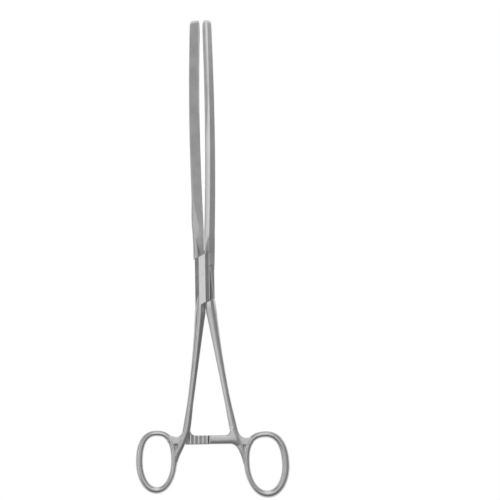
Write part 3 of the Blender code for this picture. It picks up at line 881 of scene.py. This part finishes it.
steelLooks = {
    "satinSteel": {
        "colour": (0.62, 0.62, 0.63, 1), "wornColour": (0.70, 0.70, 0.71, 1), "roughness": 0.33,
        "streaks": 0.3, "roughSpread": 0.1, "wear": 0.35, "grainDepth": 0.12,
    },
    "pinSteel": {
        "colour": (0.60, 0.60, 0.61, 1), "wornColour": (0.72, 0.72, 0.73, 1), "roughness": 0.30,
        "streaks": 0.06, "roughSpread": 0.05, "wear": 0.4, "grainDepth": 0.08,
    },
    # unpolished and rougher inside the lock and between rings and shanks, and darker there as painted shade
    "rawSteelPaintedShade": {
        "colour": (0.50, 0.50, 0.51, 1), "wornColour": (0.60, 0.60, 0.61, 1), "roughness": 0.42,
        "streaks": 0.2, "roughSpread": 0.1, "wear": 0.3, "grainDepth": 0.25,
    },
}
# marks that all three share, in millimetres, and the height of the grain in metres
markSizes = {
    "streakWidth": 0.5, "streakLength": 14, "wearReach": 0.22, "patchSize": 9, "grainHeight": 0.05 * mm,
}


def addNode(tree, kind, **inputs):
    node = tree.nodes.new(kind)
    for key, value in inputs.items():
        node.inputs[key].default_value = value
    return node


def doMath(tree, operation, first, second=None):
    # each value is a number or the socket that gives it
    node = tree.nodes.new("ShaderNodeMath")
    node.operation = operation
    for socket, value in zip(node.inputs, (first, second)):
        if isinstance(value, bpy.types.NodeSocket):
            tree.links.new(value, socket)
        elif value is not None:
            socket.default_value = value
    return node.outputs[0]


def newGroup(name, inputs, outputs):
    group = bpy.data.node_groups.new(name, "ShaderNodeTree")
    for label, value in inputs.items():
        socket = group.interface.new_socket(label, in_out="INPUT", socket_type="NodeSocketFloat")
        socket.default_value = value
    for label in outputs:
        group.interface.new_socket(label, in_out="OUTPUT", socket_type="NodeSocketFloat")
    return group, group.nodes.new("NodeGroupInput").outputs, group.nodes.new("NodeGroupOutput").inputs


def makeGrain():
    # long brushed streaks over an even matt grain
    sizes = {"Streak Width": 0.5, "Streak Length": 14}
    group, given, result = newGroup("brushedGrain", sizes, ("Streaks", "Grain"))
    place = group.nodes.new("ShaderNodeTexCoord").outputs["Object"]
    size = group.nodes.new("ShaderNodeCombineXYZ")
    across = doMath(group, "DIVIDE", 1000, given["Streak Width"])
    along = doMath(group, "DIVIDE", 1000, given["Streak Length"])
    for axis, value in (("X", across), ("Y", along), ("Z", across)):
        group.links.new(value, size.inputs[axis])
    scaled = group.nodes.new("ShaderNodeVectorMath")
    scaled.operation = "MULTIPLY"
    group.links.new(place, scaled.inputs[0])
    group.links.new(size.outputs[0], scaled.inputs[1])
    streaks = addNode(group, "ShaderNodeTexNoise", Scale=1, Detail=3, Roughness=0.6)
    group.links.new(scaled.outputs[0], streaks.inputs["Vector"])
    grain = addNode(group, "ShaderNodeTexNoise", Scale=2600, Detail=2)
    group.links.new(place, grain.inputs["Vector"])
    group.links.new(streaks.outputs["Fac"], result["Streaks"])
    group.links.new(grain.outputs["Fac"], result["Grain"])
    return group


def makeEdgeWear():
    # high where the surface bends sharply outwards or inwards
    group, given, result = newGroup("edgeWear", {"Reach": 0.25}, ("Edge",))
    rounded = group.nodes.new("ShaderNodeBevel")
    rounded.samples = 4
    group.links.new(doMath(group, "MULTIPLY", given["Reach"], mm), rounded.inputs["Radius"])
    true = group.nodes.new("ShaderNodeNewGeometry").outputs["Normal"]
    turn = group.nodes.new("ShaderNodeVectorMath")
    turn.operation = "DOT_PRODUCT"
    group.links.new(rounded.outputs[0], turn.inputs[0])
    group.links.new(true, turn.inputs[1])
    spread = addNode(group, "ShaderNodeMapRange", **{"From Min": 0.995, "From Max": 0.9})
    group.links.new(turn.outputs["Value"], spread.inputs["Value"])
    group.links.new(spread.outputs[0], result["Edge"])
    return group


def makeHandMarks():
    # soft uneven patches left by handling and wiping
    group, given, result = newGroup("handMarks", {"Patch Size": 9}, ("Patches",))
    place = group.nodes.new("ShaderNodeTexCoord").outputs["Object"]
    patches = addNode(group, "ShaderNodeTexNoise", Detail=4, Roughness=0.55, Distortion=0.4)
    group.links.new(place, patches.inputs["Vector"])
    group.links.new(doMath(group, "DIVIDE", 1000, given["Patch Size"]), patches.inputs["Scale"])
    group.links.new(patches.outputs["Fac"], result["Patches"])
    return group


grainGroup = makeGrain()
wearGroup = makeEdgeWear()
marksGroup = makeHandMarks()


def placeGroup(tree, group, **values):
    node = tree.nodes.new("ShaderNodeGroup")
    node.node_tree = group
    for key, value in values.items():
        node.inputs[key.replace("_", " ")].default_value = value
    return node.outputs


def newSteel(name, look):
    material = bpy.data.materials.new(name)
    material.use_nodes = True
    tree = material.node_tree
    shader = tree.nodes["Principled BSDF"]
    shader.inputs["Metallic"].default_value = 1
    sizes = markSizes
    grain = placeGroup(
        tree, grainGroup, Streak_Width=sizes["streakWidth"], Streak_Length=sizes["streakLength"],
    )
    edge = placeGroup(tree, wearGroup, Reach=sizes["wearReach"])["Edge"]
    patches = placeGroup(tree, marksGroup, Patch_Size=sizes["patchSize"])["Patches"]
    # colour: lighter along worn edges, with faint streaks
    worn = tree.nodes.new("ShaderNodeMixRGB")
    worn.inputs["Color1"].default_value = look["colour"]
    worn.inputs["Color2"].default_value = look["wornColour"]
    tree.links.new(doMath(tree, "MULTIPLY", edge, look["wear"]), worn.inputs["Fac"])
    handled = doMath(tree, "SUBTRACT", patches, 0.5)
    tone = doMath(tree, "ADD", doMath(tree, "SUBTRACT", grain["Streaks"], 0.5), handled)
    level = doMath(tree, "ADD", doMath(tree, "MULTIPLY", tone, look["streaks"]), 1)
    toned = tree.nodes.new("ShaderNodeVectorMath")
    toned.operation = "SCALE"
    tree.links.new(worn.outputs["Color"], toned.inputs[0])
    tree.links.new(level, toned.inputs["Scale"])
    tree.links.new(toned.outputs[0], shader.inputs["Base Color"])
    # roughness: uneven with handling, finer where the edges are polished
    uneven = doMath(tree, "MULTIPLY", handled, 2 * look["roughSpread"])
    smoother = doMath(tree, "MULTIPLY", edge, -look["roughSpread"])
    spread = doMath(tree, "ADD", uneven, smoother)
    tree.links.new(doMath(tree, "ADD", spread, look["roughness"]), shader.inputs["Roughness"])
    bump = addNode(tree, "ShaderNodeBump", Strength=look["grainDepth"], Distance=sizes["grainHeight"])
    tree.links.new(doMath(tree, "ADD", grain["Streaks"], grain["Grain"]), bump.inputs["Height"])
    tree.links.new(bump.outputs[0], shader.inputs["Normal"])
    return material


satinSteel, pinSteel, rawSteelPaintedShade = [newSteel(name, look) for name, look in steelLooks.items()]

# where the darker steel paints shade: lengths from the bend's start, and how squarely a face looks that way
paintedShadePlaces = {
    "lockDepth": lockDesign["tongue"] / 2 + 1.1 * hingeGap,
    "armReach": (-4 * mm, 8 * mm),
    "armFacing": 0.4,
    "webDepth": 0.62 * ringDesign["webThickness"],
    "webFromShank": 0.3 * handleDesign["width"],
    "webFacing": 0.6,
}


def insideLock(point):
    # between the shoulders and behind the cheeks' faces, where the darker steel paints the lock's shade
    angle = lockDesign["shoulderAngle"]
    distance = point.y * math.cos(angle) - point.x * math.sin(angle)
    low = -lockDesign["lowerShoulder"] - hingeGap
    high = lockDesign["upperShoulder"] + hingeGap
    return abs(point.z) < paintedShadePlaces["lockDepth"] and low < distance < high


def besideShank(point, normal, ring):
    # what faces the jaws on arms and webs, and the floor between finger ring and shank, which the darker
    # steel paints as in shade
    x, y = turned(point.x, point.y, -handleDesign["lean"])
    past = -y - handleDesign["bendStart"]
    nearEnd, farEnd = paintedShadePlaces["armReach"]
    if nearEnd < past < farEnd and normal.y > paintedShadePlaces["armFacing"] * normal.length:
        return True
    if not 0 < past < handleDesign["bendLength"] or abs(point.z) > paintedShadePlaces["webDepth"]:
        return False
    outside = ring["side"] * x - shankMiddle(-y, ring) > paintedShadePlaces["webFromShank"]
    return outside and abs(normal.z) > paintedShadePlaces["webFacing"] * normal.length


def dress(piece, polished, shadedRaw=None, ring=None):
    piece.data.materials.clear()
    piece.data.materials.append(polished)
    if shadedRaw is None:
        return
    # the second material is the darker steel, which paints shade on the faces picked below
    piece.data.materials.append(shadedRaw)
    toLock = clampFrame.inverted()
    turn = toLock.to_3x3()
    for face in piece.data.polygons:
        place = toLock @ face.center
        face.material_index = int(insideLock(place) or besideShank(place, turn @ face.normal, ring))


dress(femaleHalf, satinSteel, rawSteelPaintedShade, leftRing)
dress(maleHalf, satinSteel, rawSteelPaintedShade, rightRing)
dress(pivotPin, pinSteel)
print("steel on all three pieces")


# Floor, light and camera

studio = {
    "floorSize": 3.0,
    "floorTone": 0.9,
    "floorRoughness": 0.9,
    "pixelScale": 0.532 * mm,
    "imageSize": 500,
    "pivotPixel": (204.7, 279.6),
    "roll": math.radians(0.85),
    "distance": 12.0,
    "shadowShare": 0.12,
    "floorGlow": 1.08,
    "sky": (
        (0.0, 0.10), (0.03, 0.16), (0.07, 0.75), (0.14, 0.75), (0.19, 0.37),
        (0.5, 0.42), (0.7, 0.42), (0.87, 0.44), (0.94, 0.25), (1.0, 0.15),
    ),
    "nearShade": {"from": -0.2, "to": -0.55, "level": 0.5},
    "farBox": {"from": 0.4, "to": 0.95, "halfWidth": 0.25, "softness": 0.4, "strength": 0.8},
    "softbox": {
        "place": (0.0, 0.09, 0.36), "aim": (0.0, 0.09, 0.0), "size": (0.16, 0.52), "power": 0.217,
    },
    "handleLight": {
        "place": (-0.24, -0.13, 0.2), "aim": (0.0, -0.1, 0.0), "size": (0.14, 0.14), "power": 0.05,
    },
}


def makeFloor():
    form = bmesh.new()
    bmesh.ops.create_grid(form, x_segments=1, y_segments=1, size=studio["floorSize"] / 2)
    floor = addObject("floor", form)
    material = bpy.data.materials.new("paper")
    material.use_nodes = True
    tree = material.node_tree
    paper = tree.nodes["Principled BSDF"]
    tone = studio["floorTone"]
    paper.inputs["Base Color"].default_value = (tone, tone, tone, 1)
    paper.inputs["Roughness"].default_value = studio["floorRoughness"]
    paper.inputs["Specular IOR Level"].default_value = 0
    glow = addNode(tree, "ShaderNodeEmission", Strength=studio["floorGlow"])
    # white to the eye and in the steel, with a share left for the shadow
    seen = tree.nodes.new("ShaderNodeLightPath").outputs
    either = doMath(tree, "MAXIMUM", seen["Is Camera Ray"], seen["Is Glossy Ray"])
    every = doMath(tree, "MAXIMUM", either, seen["Is Transmission Ray"])
    blend = tree.nodes.new("ShaderNodeMixShader")
    tree.links.new(doMath(tree, "MULTIPLY", every, 1 - studio["shadowShare"]), blend.inputs[0])
    tree.links.new(paper.outputs[0], blend.inputs[1])
    tree.links.new(glow.outputs[0], blend.inputs[2])
    tree.links.new(blend.outputs[0], tree.nodes["Material Output"].inputs["Surface"])
    floor.data.materials.append(material)
    return floor


def makeCamera():
    camera = bpy.data.cameras.new("camera")
    camera.sensor_width = 36
    camera.lens = 36 * studio["distance"] / (studio["pixelScale"] * studio["imageSize"])
    camera.clip_end = 100
    holder = bpy.data.objects.new("camera", camera)
    bpy.context.scene.collection.objects.link(holder)
    # the pivot's place in the picture gives the point under the picture's middle
    centre = studio["imageSize"] / 2
    right = (centre - studio["pivotPixel"][0]) * studio["pixelScale"]
    up = (studio["pivotPixel"][1] - centre) * studio["pixelScale"]
    aim = Vector((*turned(right, up, -studio["roll"]), 0))
    turn = Matrix.Rotation(-studio["roll"], 4, "Z")
    away = Matrix.Translation((0, 0, studio["distance"]))
    holder.matrix_world = clampFrame @ Matrix.Translation(aim) @ turn @ away
    bpy.context.scene.camera = holder
    return holder


def makeSoftbox(name, look):
    lamp = bpy.data.lights.new(name, "AREA")
    lamp.shape = "RECTANGLE"
    lamp.size, lamp.size_y = look["size"]
    lamp.energy = look["power"]
    holder = bpy.data.objects.new(name, lamp)
    bpy.context.scene.collection.objects.link(holder)
    holder.location = look["place"]
    toAim = Vector(look["aim"]) - Vector(look["place"])
    holder.rotation_euler = toAim.to_track_quat("-Z", "Y").to_euler()
    return holder


def between(tree, value, low, high, **levels):
    # a soft change of level while the value goes from low to high
    node = addNode(tree, "ShaderNodeMapRange", **{"From Min": low, "From Max": high, **levels})
    node.interpolation_type = "SMOOTHSTEP"
    tree.links.new(value, node.inputs["Value"])
    return node.outputs[0]


def makeSky():
    # light from the left, dimmer from the right
    world = bpy.data.worlds.new("studio")
    bpy.context.scene.world = world
    world.use_nodes = True
    tree = world.node_tree
    direction = tree.nodes.new("ShaderNodeTexCoord")
    split = tree.nodes.new("ShaderNodeSeparateXYZ")
    tree.links.new(direction.outputs["Generated"], split.inputs[0])
    spread = addNode(tree, "ShaderNodeMapRange", **{"From Min": -1})
    tree.links.new(split.outputs["X"], spread.inputs["Value"])
    ramp = tree.nodes.new("ShaderNodeValToRGB")
    ramp.color_ramp.interpolation = "EASE"
    stops = ramp.color_ramp.elements
    while len(stops) < len(studio["sky"]):
        stops.new(0.5)
    for stop, (place, level) in zip(stops, studio["sky"]):
        stop.position = place
        stop.color = (level, level, level, 1)
    tree.links.new(spread.outputs[0], ramp.inputs[0])
    # the near side of the room is darker
    near = studio["nearShade"]
    shade = between(tree, split.outputs["Y"], near["to"], near["from"], **{"To Min": near["level"]})
    room = doMath(tree, "MULTIPLY", ramp.outputs["Color"], shade)
    # a long light beyond the jaws
    far = studio["farBox"]
    ahead = between(tree, split.outputs["Y"], far["from"], far["to"])
    aside = doMath(tree, "ABSOLUTE", split.outputs["X"])
    outer = (1 + far["softness"]) * far["halfWidth"]
    inner = (1 - far["softness"]) * far["halfWidth"]
    narrow = between(tree, aside, outer, inner, **{"To Max": far["strength"]})
    total = doMath(tree, "ADD", room, doMath(tree, "MULTIPLY", ahead, narrow))
    # past the floor's edge the camera sees plain white
    seen = tree.nodes.new("ShaderNodeLightPath").outputs["Is Camera Ray"]
    whole = doMath(tree, "MAXIMUM", total, seen)
    tree.links.new(whole, tree.nodes["Background"].inputs["Color"])


makeFloor()
makeCamera()
makeSky()
makeSoftbox("topSoftbox", studio["softbox"])
makeSoftbox("handleLight", studio["handleLight"])
bpy.context.scene.view_settings.view_transform = "Standard"
print("floor, light and camera set")
